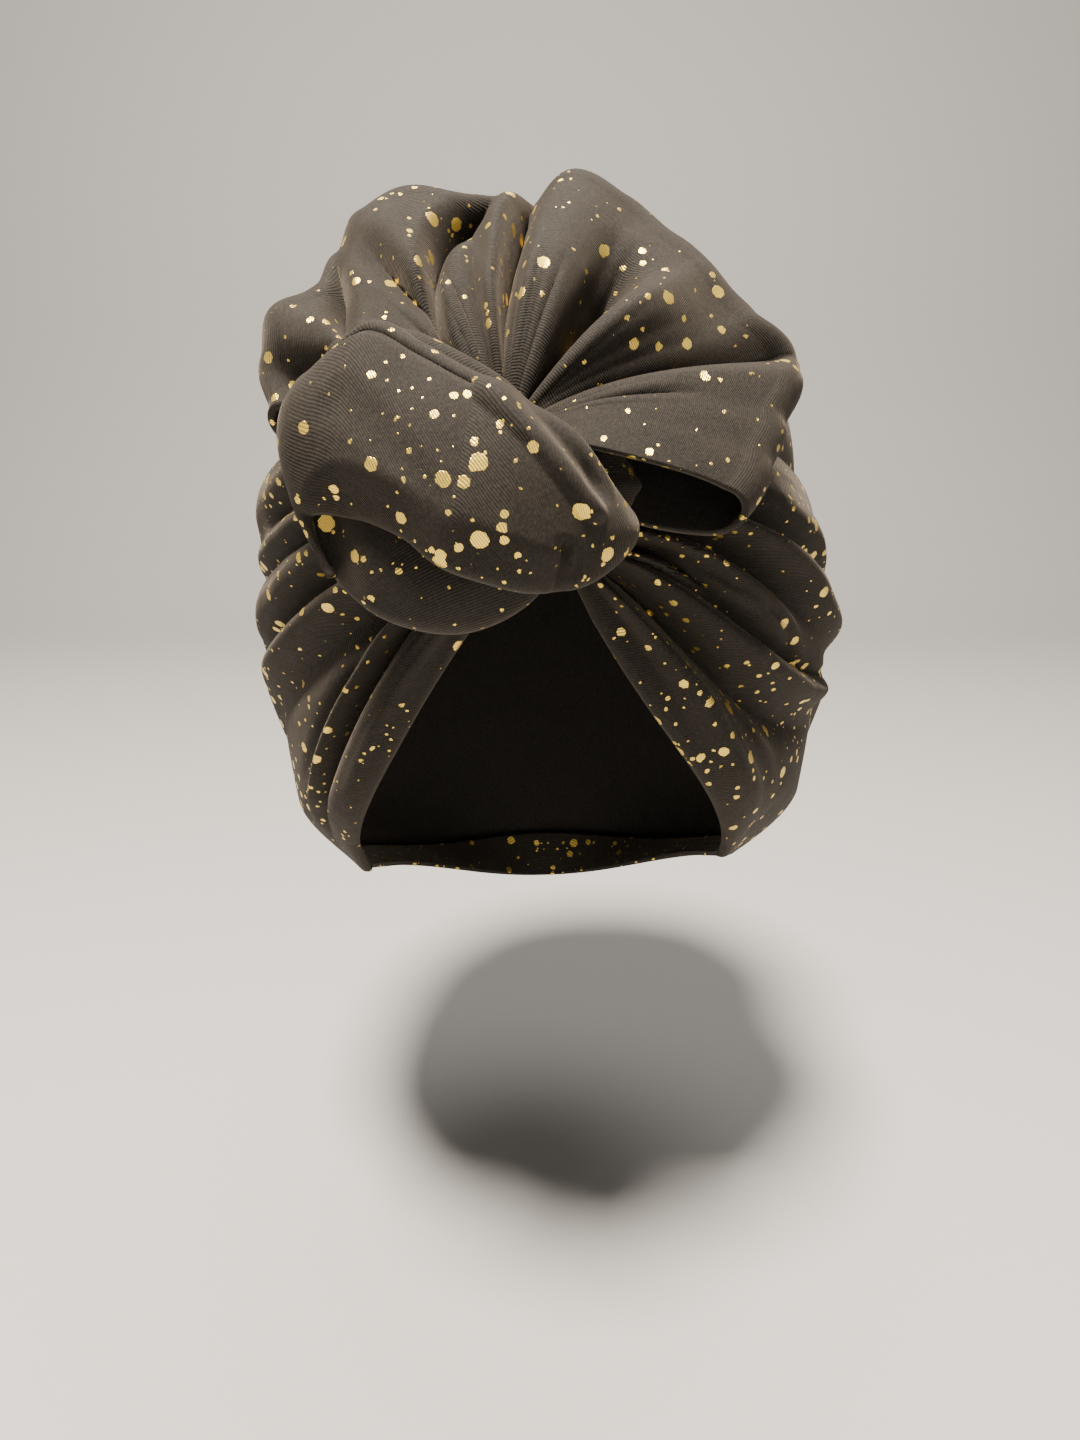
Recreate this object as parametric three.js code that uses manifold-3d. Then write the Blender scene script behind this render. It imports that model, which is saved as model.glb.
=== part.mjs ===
// A knotted turban headwrap of printed stretch cloth: a gathered cap that is open over the face,
// and above the forehead a gathered knot with a pleated ruffle behind and a folded loop in front.
// Millimetres, +Z up, -Y is the front, +X is the viewer's right.
// The origin is where the wrap sits on the head, inside the top of the crown.
import * as THREE from 'three';
import { mergeVertices } from 'three/addons/utils/BufferGeometryUtils.js';
import Module from 'manifold-3d';

// Cloth
const clothWall = 1.8;
const seamGap = 0.3;
const foldHeight = 6.5;

// Crown, without its folds
const crownWidth = 168;
const crownLength = 184;
const crownRise = 90;
const crownTaper = 185;
const crownRoundness = 2.2;
const foldHubDrop = 180;
const gatherDrop = 70;
const gatherAngle = 4;

// Hem of the crown
const napeDrop = 223;
const hemSlope = 0.37;
const leftCornerRise = 3;
const rightCornerRise = 8;
const cornerAngle = 20;
const cornerTuck = 15;
const cornerTuckHeight = 42;
const cornerTuckAngle = 60;
const turnedHemHeight = 18;
const turnedHemGap = 0.8;
const leftEdgeAngle = -124;

// Knot, where the folds of all the pieces meet
const knotWidth = 38;
const knotHeight = 32;
const knotDepth = 22;
const knotRise = 12;
const knotPleats = 9;
const knotPleatHeight = 0.9;

// Ruffle
const fanRadius = 65;
const fanLean = 33;
const fanRoll = 6.5;
const fanPuff = 6;
const fanBackPuff = 5;
const pleatHeight = 9;
const fanRootRadius = 7;
const fanRootDepth = 8;
const fanRootSide = -9.2;
const fanRootRise = 24.5;
const fanRootForward = 10.5;

// Loop
const loopWidth = 70;
const loopHeight = 52;
const loopDepth = 30;
const loopSide = -20;
const loopRise = 12;
const loopForward = 23;
const loopBelly = 8;

// How finely the cloth is divided
const crownRows = 20;
const plainColumnAngle = 6.5;
const foldColumnAngle = 3.2;
const plainHalfAngle = 52;
const hemRows = 3;
const hemInset = 2;
const knotColumns = 20;
const knotRows = 10;
const fanColumns = 42;
const fanFrontRows = 8;
const fanRollRows = 4;
const fanBackRows = 4;
const loopStepsPerStation = 2;
const loopRows = 8;

const degree = Math.PI / 180;

// The crown's folds. Each runs from the knot outwards, at these angles about the knot (0 is
// straight up and over the head, 90 the viewer's right) close to the knot, half way and far from
// it. Height is a share of foldHeight, negative for a crease. Width, start and end are angles.
const crownFolds = [
  { near: -45, mid: -44, far: -42, height: 0.45, width: 8, start: 10, end: 95 },
  { near: -54, mid: -54, far: -52, height: -0.35, width: 4, start: 10, end: 80 },
  { near: -61, mid: -62, far: -60, height: 0.55, width: 5, start: 12, end: 85 },
  { near: -68, mid: -66.5, far: -64, height: -0.45, width: 3, start: 12, end: 75 },
  { near: -74, mid: -71, far: -68, height: 0.6, width: 4, start: 12, end: 80 },
  { near: -80, mid: -77.5, far: -71, height: -0.4, width: 3, start: 12, end: 70 },
  { near: -83, mid: -80.5, far: -74.5, height: 0.3, width: 3, start: 12, end: 70 },
  { near: -87, mid: -84.5, far: -78, height: -0.85, width: 3, start: 12, end: 60 },
  { near: -92, mid: -88.5, far: -82, height: 0.75, width: 5, start: 12, end: 75 },
  { near: -96, mid: -94, far: -89, height: -0.45, width: 4, start: 16, end: 65 },
  { near: -99, mid: -99, far: -98.5, height: 0.6, width: 4.5, start: 16, end: 62 },
  { near: -103, mid: -105.5, far: -106.5, height: -0.5, width: 2.4, start: 16, end: 60 },
  { near: -108, mid: -111, far: -114, height: 0.25, width: 6, start: 16, end: 60 },
  { near: 42, mid: 43, far: 42, height: 0.4, width: 8, start: 10, end: 95 },
  { near: 52, mid: 53, far: 53, height: -0.35, width: 4, start: 10, end: 80 },
  { near: 46, mid: 50, far: 54, height: -1.0, width: 18, start: 14, end: 85 },
  { near: 60, mid: 61, far: 61, height: 0.5, width: 5, start: 12, end: 85 },
  { near: 65, mid: 66, far: 67, height: -0.35, width: 3, start: 14, end: 70 },
  { near: 66, mid: 70, far: 73, height: 0.35, width: 3, start: 14, end: 60 },
  { near: 68, mid: 74, far: 77, height: -0.35, width: 2.6, start: 16, end: 50 },
  { near: 71, mid: 78, far: 72, height: 0.85, width: 4.5, start: 9, end: 80 },
  { near: 79, mid: 83.5, far: 76, height: -0.65, width: 4, start: 9, end: 62 },
  { near: 85, mid: 88.5, far: 80, height: 0.6, width: 3.4, start: 9, end: 70 },
  { near: 92, mid: 92.5, far: 83, height: -0.45, width: 2.4, start: 9, end: 55 },
  { near: 98, mid: 94.5, far: 87, height: 0.75, width: 4.5, start: 9, end: 70 },
  { near: 110, mid: 109, far: 100, height: -0.8, width: 5, start: 8, end: 46 },
  { near: 119, mid: 118.5, far: 118, height: 0.4, width: 5, start: 9, end: 60 },
  { near: -22, mid: -22, far: -21, height: 0.35, width: 8, start: 10, end: 90 },
  { near: 21, mid: 22, far: 21, height: 0.35, width: 8, start: 10, end: 90 },
];

// The edge of the face opening on the viewer's right, at the same three places.
const rightEdge = { near: 139, mid: 131, far: 128 };

// The ruffle's outline: its reach from the knot, as a share of fanRadius, by angle about the knot
// (0 is the viewer's right, 90 is up).
const fanOutline = [
  { angle: -26, reach: 0.80 },
  { angle: -7, reach: 0.87 },
  { angle: 3, reach: 0.92 },
  { angle: 14, reach: 1.02 },
  { angle: 22, reach: 1.08 },
  { angle: 31, reach: 1.00 },
  { angle: 38, reach: 0.985 },
  { angle: 54, reach: 1.01 },
  { angle: 66, reach: 1.06 },
  { angle: 77, reach: 1.10 },
  { angle: 85, reach: 1.02 },
  { angle: 98, reach: 1.01 },
  { angle: 111, reach: 1.10 },
  { angle: 121, reach: 1.06 },
  { angle: 129, reach: 0.97 },
  { angle: 138, reach: 0.90 },
  { angle: 150, reach: 0.94 },
  { angle: 160, reach: 0.89 },
  { angle: 172, reach: 0.80 },
];

// The ruffle's creases: angle at the knot, angle at the rim, depth as a share of pleatHeight
// (negative for a ridge), width in degrees, and where along the reach each begins to fade and ends.
const fanPleats = [
  { near: 23, rim: 21, depth: 0.75, width: 6, fade: 0.9, end: 1.3 },
  { near: 32, rim: 30, depth: 0.45, width: 10, fade: 0.8, end: 1.2 },
  { near: 41, rim: 38, depth: -0.45, width: 7, fade: 0.6, end: 0.95 },
  { near: 53, rim: 60, depth: 0.95, width: 7.5, fade: 0.5, end: 0.82 },
  { near: 76, rim: 74, depth: -0.3, width: 9, fade: 0.9, end: 1.3 },
  { near: 93, rim: 85, depth: 0.8, width: 4.5, fade: 0.95, end: 1.4 },
  { near: 108, rim: 96, depth: 0.25, width: 4, fade: 0.7, end: 0.95 },
  { near: 124, rim: 98, depth: 0.6, width: 6, fade: 0.75, end: 1.0 },
  { near: 116, rim: 112, depth: -0.3, width: 6, fade: 0.8, end: 1.05 },
  { near: 128, rim: 124, depth: 0.7, width: 6, fade: 0.6, end: 0.95 },
  { near: 152, rim: 137, depth: 0.6, width: 6, fade: 0.8, end: 1.05 },
  { near: 155, rim: 152, depth: -0.3, width: 7, fade: 0.9, end: 1.3 },
  { near: 167, rim: 166, depth: 0.7, width: 7, fade: 0.8, end: 1.05 },
];

// The angles of the ruffle's two open ends, on its front layer, at its rim and on its back layer.
const fanEnds = {
  right: { front: -12, rim: -24, back: -34 },
  left: { front: 166, rim: 172, back: 182 },
};

// The loop's cloth, section by section along the band: out of the knot, round in front, across
// the front to the left, round and back behind. Each row gives the upper and the lower edge, as
// shares of loopWidth, loopDepth and loopHeight from the loop's middle, the belly as a share of
// loopBelly, and how far down the section the belly stands out most.
const loopSections = [
  { upper: [0.42, 0.34, 0.02], lower: [0.42, 0.36, -0.27], belly: 0.1, crest: 0.5 },
  { upper: [0.50, 0.14, -0.06], lower: [0.51, 0.14, -0.25], belly: 0.3, crest: 0.5 },
  { upper: [0.46, -0.08, 0.02], lower: [0.41, -0.16, -0.35], belly: 0.4, crest: 0.4 },
  { upper: [0.35, -0.12, 0.22], lower: [0.27, -0.36, -0.36], belly: 0.6, crest: 0.3 },
  { upper: [0.23, -0.12, 0.34], lower: [0.12, -0.48, -0.30], belly: 0.6, crest: 0.3 },
  { upper: [0.06, -0.07, 0.44], lower: [-0.03, -0.50, -0.22], belly: 0.45, crest: 0.4 },
  { upper: [-0.08, 0.00, 0.54], lower: [-0.17, -0.37, -0.11], belly: 0.45, crest: 0.5 },
  { upper: [-0.22, 0.08, 0.60], lower: [-0.34, -0.14, -0.07], belly: 0.6, crest: 0.5 },
  { upper: [-0.34, 0.20, 0.54], lower: [-0.45, 0.20, -0.16], belly: 0.9, crest: 0.5 },
  { upper: [-0.34, 0.28, 0.55], lower: [-0.40, 0.46, -0.40], belly: 0.2, crest: 0.5 },
  { upper: [-0.17, 0.26, 0.62], lower: [-0.20, 0.42, -0.58], belly: -0.7, crest: 0.7 },
  { upper: [0.05, 0.24, 0.49], lower: [0.04, 0.36, -0.59], belly: -0.9, crest: 0.7 },
  { upper: [0.21, 0.26, 0.35], lower: [0.20, 0.34, -0.49], belly: -0.6, crest: 0.6 },
  { upper: [0.31, 0.34, 0.20], lower: [0.31, 0.42, -0.36], belly: 0.1, crest: 0.5 },
];

// A smooth step from 0 to 1 as x goes from 0 to 1.
function ease(x) {
  const c = Math.min(1, Math.max(0, x));
  return c * c * (3 - 2 * c);
}

// A rounded hill of height 1, which is 0 from one width away.
function hill(x) {
  return Math.abs(x) < 1 ? (1 - x * x) ** 2 : 0;
}

// A fold's angle at an angle t from the knot: a curve through its three places.
function foldAngle(fold, t) {
  const [nearT, midT, farT] = [10, 25, 42];
  const c = Math.min(farT + 8, Math.max(nearT - 3, t));
  const a = ((c - midT) * (c - farT)) / ((nearT - midT) * (nearT - farT));
  const b = ((c - nearT) * (c - farT)) / ((midT - nearT) * (midT - farT));
  const d = ((c - nearT) * (c - midT)) / ((farT - nearT) * (farT - midT));
  return fold.near * a + fold.mid * b + fold.far * d;
}

// The crown's smooth form: a squarish ellipsoid, longer below its widest level than above.
const crownCentre = new THREE.Vector3(0, 0, clothWall - crownRise);

function crownMeasure(p) {
  const z = p.z - crownCentre.z;
  return Math.abs((2 * p.x) / crownWidth) ** crownRoundness
    + Math.abs((2 * p.y) / crownLength) ** crownRoundness
    + Math.abs(z / (z > 0 ? crownRise : crownTaper)) ** crownRoundness;
}

// Where a ray from a point inside leaves the smooth form.
function crownRay(from, direction) {
  let near = 0;
  let far = 2 * crownTaper;
  for (let i = 0; i < 36; i += 1) {
    const middle = (near + far) / 2;
    if (crownMeasure(from.clone().addScaledVector(direction, middle)) < 1) near = middle;
    else far = middle;
  }
  return from.clone().addScaledVector(direction, near);
}

function crownNormal(p) {
  const step = 0.01;
  const slope = ['x', 'y', 'z'].map((axis) => {
    const ahead = p.clone();
    const behind = p.clone();
    ahead[axis] += step;
    behind[axis] -= step;
    return crownMeasure(ahead) - crownMeasure(behind);
  });
  return new THREE.Vector3(...slope).normalize();
}

// The folds are counted about the line from a hub inside the head to the gathered knot in front.
const foldHub = new THREE.Vector3(0, 0, -foldHubDrop);
const gatherLevel = new THREE.Vector3(0, 0, -gatherDrop);
const gather = crownRay(gatherLevel, new THREE.Vector3(0, -1, 0));
const toGather = gather.clone().sub(foldHub).normalize();
const toSide = new THREE.Vector3(1, 0, 0);
const toTop = new THREE.Vector3().crossVectors(toGather, toSide);

function crownPoint(angle, t) {
  const spoke = toTop.clone().multiplyScalar(Math.cos(angle * degree))
    .addScaledVector(toSide, Math.sin(angle * degree));
  const direction = toGather.clone().multiplyScalar(Math.cos(t * degree))
    .addScaledVector(spoke, Math.sin(t * degree));
  return crownRay(foldHub, direction);
}

// How far the folds lift the cloth off the smooth form.
function foldLift(angle, t) {
  let lift = 0;
  for (const fold of crownFolds) {
    const strength = ease((t - gatherAngle) / fold.start) * ease((fold.end - t) / (fold.end / 2));
    lift += fold.height * strength * hill((angle - foldAngle(fold, t)) / (1.6 * fold.width));
  }
  return lift * foldHeight;
}

function rightEdgeAngle(t) {
  return foldAngle(rightEdge, t);
}

// The hem lies in a plane that rises towards the face, and its front corners are rounded off.
function hemLevel(angle, y) {
  const left = leftCornerRise * (1 - ease((angle - leftEdgeAngle) / cornerAngle)) ** 2;
  const right = rightCornerRise * (1 - ease((rightEdge.far - angle) / cornerAngle)) ** 2;
  return hemSlope * (napeY - y) - napeDrop + left + right;
}

const napeY = crownRay(new THREE.Vector3(0, 0, -napeDrop), new THREE.Vector3(0, 1, 0)).y;

// The angle from the knot at which the cloth ends at the hem.
function hemAngle(angle) {
  let above = 20;
  let below = 175;
  for (let i = 0; i < 24; i += 1) {
    const middle = (above + below) / 2;
    const p = crownPoint(angle, middle);
    if (p.z > hemLevel(angle, p.y)) above = middle;
    else below = middle;
  }
  return above;
}

// How far the hem is tucked in at the two front corners, at a height above the hem.
function hemTuck(angle, height) {
  const fromEdge = Math.min(angle - leftEdgeAngle, rightEdge.far - angle);
  const nearCorner = 1 - ease(fromEdge / cornerTuckAngle);
  return cornerTuck * nearCorner * Math.max(0, 1 - height / cornerTuckHeight) ** 1.7;
}

// The cloth's outer face at a fold angle and an angle from the knot, moved in by a depth.
// The cloth ends at the angle given as end.
function crownSkin(angle, t, end, depth) {
  const p = crownPoint(angle, t);
  const height = (end - t) * degree * p.distanceTo(foldHub);
  return p.addScaledVector(crownNormal(p), foldLift(angle, t) - hemTuck(angle, height) - depth);
}

// The columns of the crown, closer together where the folds are, as shares from edge to edge.
function crownColumns() {
  const from = leftEdgeAngle;
  const to = rightEdge.mid;
  const angles = [];
  let angle = from;
  while (angle < to - foldColumnAngle / 2) {
    angles.push(angle);
    angle += Math.abs(angle) < plainHalfAngle ? plainColumnAngle : foldColumnAngle;
  }
  angles.push(to);
  return angles.map((value) => (value - from) / (to - from));
}

// A closed body of cloth from two grids of points, one for each face, and the strips between
// their four edges.
function clothBody(faceGrid, backGrid) {
  const rows = faceGrid.length;
  const columns = faceGrid[0].length;
  const positions = [];
  for (const grid of [faceGrid, backGrid]) {
    for (const row of grid) {
      for (const p of row) positions.push(p.x, p.y, p.z);
    }
  }
  const face = (i, j) => i * columns + j;
  const back = (i, j) => rows * columns + face(i, j);
  const triangles = [];
  const quad = (a, b, c, d) => triangles.push(a, b, c, a, c, d);
  for (let i = 0; i < rows - 1; i += 1) {
    for (let j = 0; j < columns - 1; j += 1) {
      quad(face(i, j), face(i, j + 1), face(i + 1, j + 1), face(i + 1, j));
      quad(back(i, j), back(i + 1, j), back(i + 1, j + 1), back(i, j + 1));
    }
  }
  for (let i = 0; i < rows - 1; i += 1) {
    quad(face(i, 0), face(i + 1, 0), back(i + 1, 0), back(i, 0));
    quad(face(i + 1, columns - 1), face(i, columns - 1), back(i, columns - 1), back(i + 1, columns - 1));
  }
  for (let j = 0; j < columns - 1; j += 1) {
    quad(face(0, j + 1), face(0, j), back(0, j), back(0, j + 1));
    quad(face(rows - 1, j), face(rows - 1, j + 1), back(rows - 1, j + 1), back(rows - 1, j));
  }
  return facingOut(positions, triangles);
}

// A geometry whose triangles are turned round if they enclose a negative volume.
function facingOut(positions, triangles) {
  const corner = (k) => new THREE.Vector3().fromArray(positions, 3 * triangles[k]);
  let volume = 0;
  for (let k = 0; k < triangles.length; k += 3) {
    volume += corner(k).dot(corner(k + 1).cross(corner(k + 2)));
  }
  if (volume < 0) triangles.reverse();
  const geometry = new THREE.BufferGeometry();
  geometry.setAttribute('position', new THREE.Float32BufferAttribute(positions, 3));
  geometry.setIndex(triangles);
  return geometry;
}

// A wall of cloth on both sides of a grid of points, measured square to the grid.
function clothOnBothSides(grid, wall) {
  const rows = grid.length;
  const columns = grid[0].length;
  const at = (i, j) => grid[Math.min(rows - 1, Math.max(0, i))][Math.min(columns - 1, Math.max(0, j))];
  const shifted = (side) => grid.map((row, i) => row.map((p, j) => {
    const along = at(i + 1, j).clone().sub(at(i - 1, j));
    const across = at(i, j + 1).clone().sub(at(i, j - 1));
    const normal = along.cross(across).normalize();
    return p.clone().addScaledVector(normal, side * wall / 2);
  }));
  return clothBody(shifted(1), shifted(-1));
}

// Crown: from the knot (row 0) to the hem (last row), spread from edge to edge of the opening.
function crownGeometry(clearance) {
  const shares = crownColumns();
  const outer = [];
  const inner = [];
  for (let i = 0; i <= crownRows; i += 1) {
    const outerRow = [];
    const innerRow = [];
    for (const share of shares) {
      const middle = leftEdgeAngle + share * (rightEdge.mid - leftEdgeAngle);
      const end = hemAngle(middle);
      const t = gatherAngle + (end - gatherAngle) * (i / crownRows);
      const angle = leftEdgeAngle + share * (rightEdgeAngle(t) - leftEdgeAngle);
      outerRow.push(crownSkin(angle, t, end, -clearance));
      innerRow.push(crownSkin(angle, t, end, clothWall + clearance));
    }
    outer.push(outerRow);
    inner.push(innerRow);
  }
  return clothBody(outer, inner);
}

// Turned hem: the strip of cloth that is folded up inside the crown, just inside its hem.
function turnedHemGeometry() {
  const shares = crownColumns().slice(hemInset, -hemInset);
  const outer = [];
  const inner = [];
  for (let i = 0; i <= hemRows; i += 1) {
    const outerRow = [];
    const innerRow = [];
    for (const share of shares) {
      const middle = leftEdgeAngle + share * (rightEdge.mid - leftEdgeAngle);
      const end = hemAngle(middle);
      const reach = crownPoint(middle, end).distanceTo(foldHub);
      const t = end - (turnedHemHeight / reach / degree) * (i / hemRows);
      const angle = leftEdgeAngle + share * (rightEdgeAngle(t) - leftEdgeAngle);
      outerRow.push(crownSkin(angle, t, end, clothWall + turnedHemGap));
      innerRow.push(crownSkin(angle, t, end, 2 * clothWall + turnedHemGap));
    }
    outer.push(outerRow);
    inner.push(innerRow);
  }
  return clothBody(outer, inner);
}

// Knot: a pleated lump, a little flattened against the forehead.
const knotCentre = gather.clone().add(new THREE.Vector3(0, -knotDepth / 4, knotRise));

function knotGeometry(clearance) {
  const geometry = new THREE.SphereGeometry(1, knotColumns, knotRows);
  const position = geometry.getAttribute('position');
  const p = new THREE.Vector3();
  for (let k = 0; k < position.count; k += 1) {
    p.fromBufferAttribute(position, k);
    const around = Math.atan2(p.z, p.x);
    const pleat = knotPleatHeight * Math.cos(knotPleats * around) * Math.hypot(p.x, p.z);
    p.multiply(new THREE.Vector3(
      knotWidth / 2 + pleat + clearance,
      knotDepth / 2 + clearance,
      knotHeight / 2 + pleat + clearance,
    ));
    p.add(knotCentre);
    position.setXYZ(k, p.x, p.y, p.z);
  }
  return geometry;
}

// Ruffle: a doubled band of cloth, out from the knot on its front layer, rolled over at the rim
// and back to the knot on its back layer.
const fanRoot = gather.clone().add(new THREE.Vector3(fanRootSide, -fanRootForward, fanRootRise));
const fanUp = new THREE.Vector3(0, Math.sin(fanLean * degree), Math.cos(fanLean * degree));
const fanOut = new THREE.Vector3(0, -Math.cos(fanLean * degree), Math.sin(fanLean * degree));

function fanReach(angle) {
  const last = fanOutline.length - 1;
  let k = 0;
  while (k < last - 1 && angle > fanOutline[k + 1].angle) k += 1;
  const from = fanOutline[k];
  const to = fanOutline[k + 1];
  const blend = ease((angle - from.angle) / (to.angle - from.angle));
  return fanRadius * (from.reach + (to.reach - from.reach) * blend);
}

function pleatSink(angle, share) {
  let sink = 0;
  for (const pleat of fanPleats) {
    const middle = pleat.near + (pleat.rim - pleat.near) * share;
    const strength = ease(share * 1.8) * ease((pleat.end - share) / (pleat.end - pleat.fade));
    sink += pleat.depth * strength * hill((angle - middle) / (1.5 * pleat.width));
  }
  return sink * pleatHeight;
}

// The way round one section of the ruffle: the share of the reach, the height off its own plane
// and how much of each pleat shows there, for a place from 0 on the front to 1 on the back.
function fanSection(place, reach) {
  const frontEnd = fanFrontRows / (fanFrontRows + fanRollRows + fanBackRows);
  const rollEnd = 1 - fanBackRows / (fanFrontRows + fanRollRows + fanBackRows);
  const straight = reach - fanRoll;
  if (place < frontEnd) {
    const along = place / frontEnd;
    const r = fanRootRadius + (straight - fanRootRadius) * along;
    return { r, lift: fanPuff * Math.sin(Math.PI * along ** 0.8), pleat: 1 };
  }
  if (place <= rollEnd) {
    const turn = Math.PI * ((place - frontEnd) / (rollEnd - frontEnd));
    const pleat = 0.3 + 0.35 * (1 + Math.cos(turn));
    return { r: straight + fanRoll * Math.sin(turn), lift: fanRoll * (Math.cos(turn) - 1), pleat };
  }
  const along = (1 - place) / (1 - rollEnd);
  const r = fanRootRadius + (straight - fanRootRadius) * along;
  const base = fanRootDepth + (2 * fanRoll - fanRootDepth) * along;
  return { r, lift: -base - fanBackPuff * Math.sin(Math.PI * along), pleat: 0.3 };
}

function fanEndAngle(end, place) {
  const front = end.front + (end.rim - end.front) * ease(2 * place);
  return front + (end.back - end.rim) * ease(2 * place - 1);
}

function fanPoint(share, place) {
  const from = fanEndAngle(fanEnds.right, place);
  const to = fanEndAngle(fanEnds.left, place);
  const angle = from + (to - from) * share;
  const reach = fanReach(angle);
  const section = fanSection(place, reach);
  const sink = pleatSink(angle, section.r / reach) * section.pleat;
  return fanRoot.clone()
    .addScaledVector(toSide, section.r * Math.cos(angle * degree))
    .addScaledVector(fanUp, section.r * Math.sin(angle * degree))
    .addScaledVector(fanOut, section.lift - sink);
}

function fanGeometry(clearance) {
  const places = fanFrontRows + fanRollRows + fanBackRows;
  const grid = [];
  for (let i = 0; i <= places; i += 1) {
    const row = [];
    for (let j = 0; j <= fanColumns; j += 1) row.push(fanPoint(j / fanColumns, i / places));
    grid.push(row);
  }
  return clothOnBothSides(grid, clothWall + 2 * clearance);
}

// Loop: smooth curves through its upper and lower edges, with the cloth bellied out between them.
const loopCentre = gather.clone().add(new THREE.Vector3(loopSide, -loopForward, loopRise));

function loopEdge(side) {
  return new THREE.CatmullRomCurve3(loopSections.map((section) => {
    const [x, y, z] = section[side];
    return new THREE.Vector3(x * loopWidth, y * loopDepth, z * loopHeight).add(loopCentre);
  }));
}

function loopGeometry(clearance) {
  const upper = loopEdge('upper');
  const lower = loopEdge('lower');
  const steps = (loopSections.length - 1) * loopStepsPerStation;
  const grid = [];
  for (let i = 0; i <= steps; i += 1) {
    const u = i / steps;
    const k = Math.min(loopSections.length - 2, Math.floor(i / loopStepsPerStation));
    const blend = i / loopStepsPerStation - k;
    const from = loopSections[k];
    const to = loopSections[k + 1];
    const belly = loopBelly * (from.belly + (to.belly - from.belly) * blend);
    const crest = from.crest + (to.crest - from.crest) * blend;
    const bend = Math.log(0.5) / Math.log(crest);
    const top = upper.getPoint(u);
    const bottom = lower.getPoint(u);
    const along = upper.getTangent(u).add(lower.getTangent(u)).normalize();
    const outward = along.cross(bottom.clone().sub(top)).normalize();
    const row = [];
    for (let j = 0; j <= loopRows; j += 1) {
      const v = j / loopRows;
      const p = top.clone().lerp(bottom, v);
      row.push(p.addScaledVector(outward, belly * Math.sin(Math.PI * v ** bend)));
    }
    grid.push(row);
  }
  return clothOnBothSides(grid, clothWall + 2 * clearance);
}

// Cutting one piece clear of another, so that cloth lies on cloth with a small gap.
const wasm = await Module();
wasm.setup();

function solidOf(geometry) {
  const bare = geometry.clone();
  bare.deleteAttribute('normal');
  bare.deleteAttribute('uv');
  const merged = mergeVertices(bare, 1e-5);
  return new wasm.Manifold(new wasm.Mesh({
    numProp: 3,
    vertProperties: Float32Array.from(merged.getAttribute('position').array),
    triVerts: Uint32Array.from(merged.getIndex().array),
  }));
}

function largestBody(solid) {
  return solid.decompose().reduce((best, body) => (body.volume() > best.volume() ? body : best));
}

function geometryOf(solid) {
  const mesh = solid.getMesh();
  const geometry = new THREE.BufferGeometry();
  geometry.setAttribute('position', new THREE.BufferAttribute(mesh.vertProperties, 3));
  geometry.setIndex(new THREE.BufferAttribute(mesh.triVerts, 1));
  geometry.computeVertexNormals();
  return geometry;
}

function clearOf(geometry, neighbours) {
  const cut = neighbours.reduce((solid, other) => solid.subtract(solidOf(other)), solidOf(geometry));
  return geometryOf(largestBody(cut));
}

function clothPiece(name, geometry, color, roughness) {
  const material = new THREE.MeshStandardMaterial({ color, roughness, metalness: 0 });
  geometry.computeVertexNormals();
  const mesh = new THREE.Mesh(geometry, material);
  mesh.name = name;
  return mesh;
}

const crownClearance = crownGeometry(seamGap);
const knotClearance = knotGeometry(seamGap);
const fanClearance = fanGeometry(seamGap);

const crown = crownGeometry(0);
const turnedHem = turnedHemGeometry();
const knotCore = clearOf(knotGeometry(0), [crownClearance]);
const fanRuffle = clearOf(fanGeometry(0), [crownClearance, knotClearance]);
const frontLoop = clearOf(loopGeometry(0), [crownClearance, knotClearance, fanClearance]);

const headwrap = new THREE.Group();
headwrap.name = 'turban_headwrap';
headwrap.add(
  clothPiece('crown', crown, 0x262321, 0.86),
  clothPiece('turned_hem', turnedHem, 0x1d1b1a, 0.9),
  clothPiece('knot_core', knotCore, 0x1f1c1b, 0.9),
  clothPiece('fan_ruffle', fanRuffle, 0x282523, 0.86),
  clothPiece('front_loop', frontLoop, 0x2a2725, 0.86),
);

export default headwrap;
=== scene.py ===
"""A knotted turban headwrap of printed stretch knit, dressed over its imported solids.

Shapes are worked out in millimetres in the part's frame and written in metres. The front is -Y,
the viewer's right is +X, and the origin is inside the top of the crown. Angles are in degrees.
"""

import logging
import math
from dataclasses import dataclass, replace
from enum import Enum

import bmesh
import bpy
import numpy as np
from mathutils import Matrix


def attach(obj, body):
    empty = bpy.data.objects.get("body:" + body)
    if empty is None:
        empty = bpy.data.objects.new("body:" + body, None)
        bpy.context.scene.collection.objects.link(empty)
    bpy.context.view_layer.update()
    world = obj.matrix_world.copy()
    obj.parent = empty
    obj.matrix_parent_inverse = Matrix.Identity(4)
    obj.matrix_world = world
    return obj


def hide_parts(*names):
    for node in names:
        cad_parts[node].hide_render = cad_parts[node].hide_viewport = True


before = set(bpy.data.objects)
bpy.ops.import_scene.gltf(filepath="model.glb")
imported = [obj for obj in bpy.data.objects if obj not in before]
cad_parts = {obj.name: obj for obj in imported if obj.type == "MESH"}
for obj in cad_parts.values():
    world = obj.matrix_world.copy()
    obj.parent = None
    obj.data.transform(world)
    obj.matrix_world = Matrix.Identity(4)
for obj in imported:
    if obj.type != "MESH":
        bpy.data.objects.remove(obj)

Socket = bpy.types.NodeSocket
Color = tuple[float, float, float]
Point = tuple[float, float, float]
Range = tuple[float, float]

LOG = logging.getLogger("headwrap")
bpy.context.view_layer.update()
MM = 0.001
CLOTH_WALL = 1.6
CREASE_POWER = 1.15
SIDE =np.array([1.0, 0.0, 0.0])


class Held(Enum):
    """How a sheet of cloth keeps its shape."""

    STRETCHED = "stretched"
    GATHERED = "gathered"
    FOLDED = "folded"


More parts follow.
